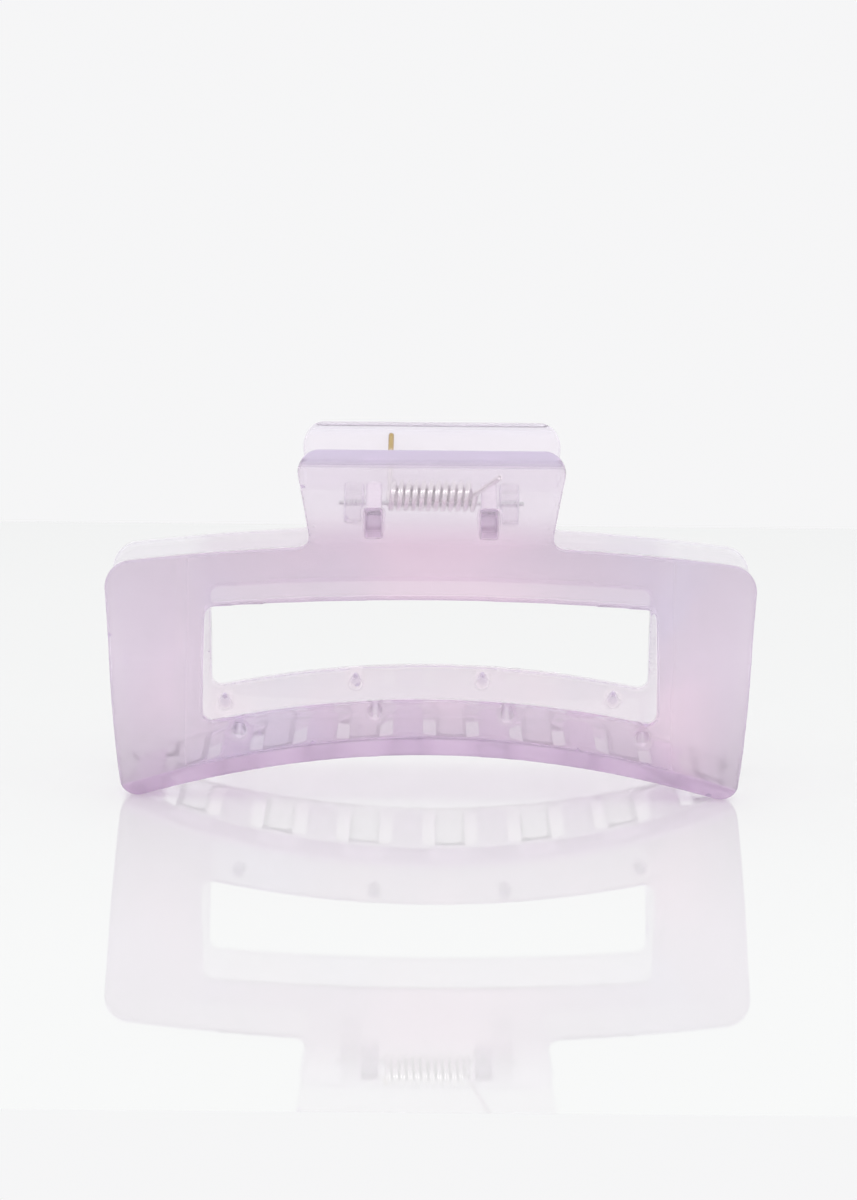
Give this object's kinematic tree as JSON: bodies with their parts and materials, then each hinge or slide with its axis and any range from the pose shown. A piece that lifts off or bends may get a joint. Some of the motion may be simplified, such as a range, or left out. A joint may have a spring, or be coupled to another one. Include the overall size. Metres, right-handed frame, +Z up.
{
  "type": "hair claw clip",
  "caption": "Rectangular open-frame hair claw clip: two curved window jaws with interleaved fingers, hinged on a sprung pin.",
  "frame": {"origin": "middle of the clip's footprint, on the surface that it stands on", "axes": "+X along the hinge pin and the clip's length, +Y from the front jaw to the back jaw, +Z up to the grips"},
  "size_m": [0.105, 0.0468, 0.0572],
  "materials": {
    "lilac_plastic": "milky translucent lilac acetate-like plastic with soft pink and pearl clouds, polished",
    "pin_steel": "drawn steel wire",
    "spring_wire": "pale gold plated spring wire"
  },
  "bodies": {
    "back": {"back_jaw": "lilac_plastic", "hinge_pin": "pin_steel", "torsion_spring": "spring_wire"},
    "front": {"front_jaw": "lilac_plastic"}
  },
  "joints": [
    {"name": "jaw_hinge", "type": "hinge", "parent": "back", "child": "front", "pos_m": [0, 0, 0.047], "axis": [-1, 0, 0], "range_deg": [0, 80], "stiffness_Nm_per_rad": 0.08, "springref_deg": -68.75, "deforming": ["torsion_spring"]}
  ]
}
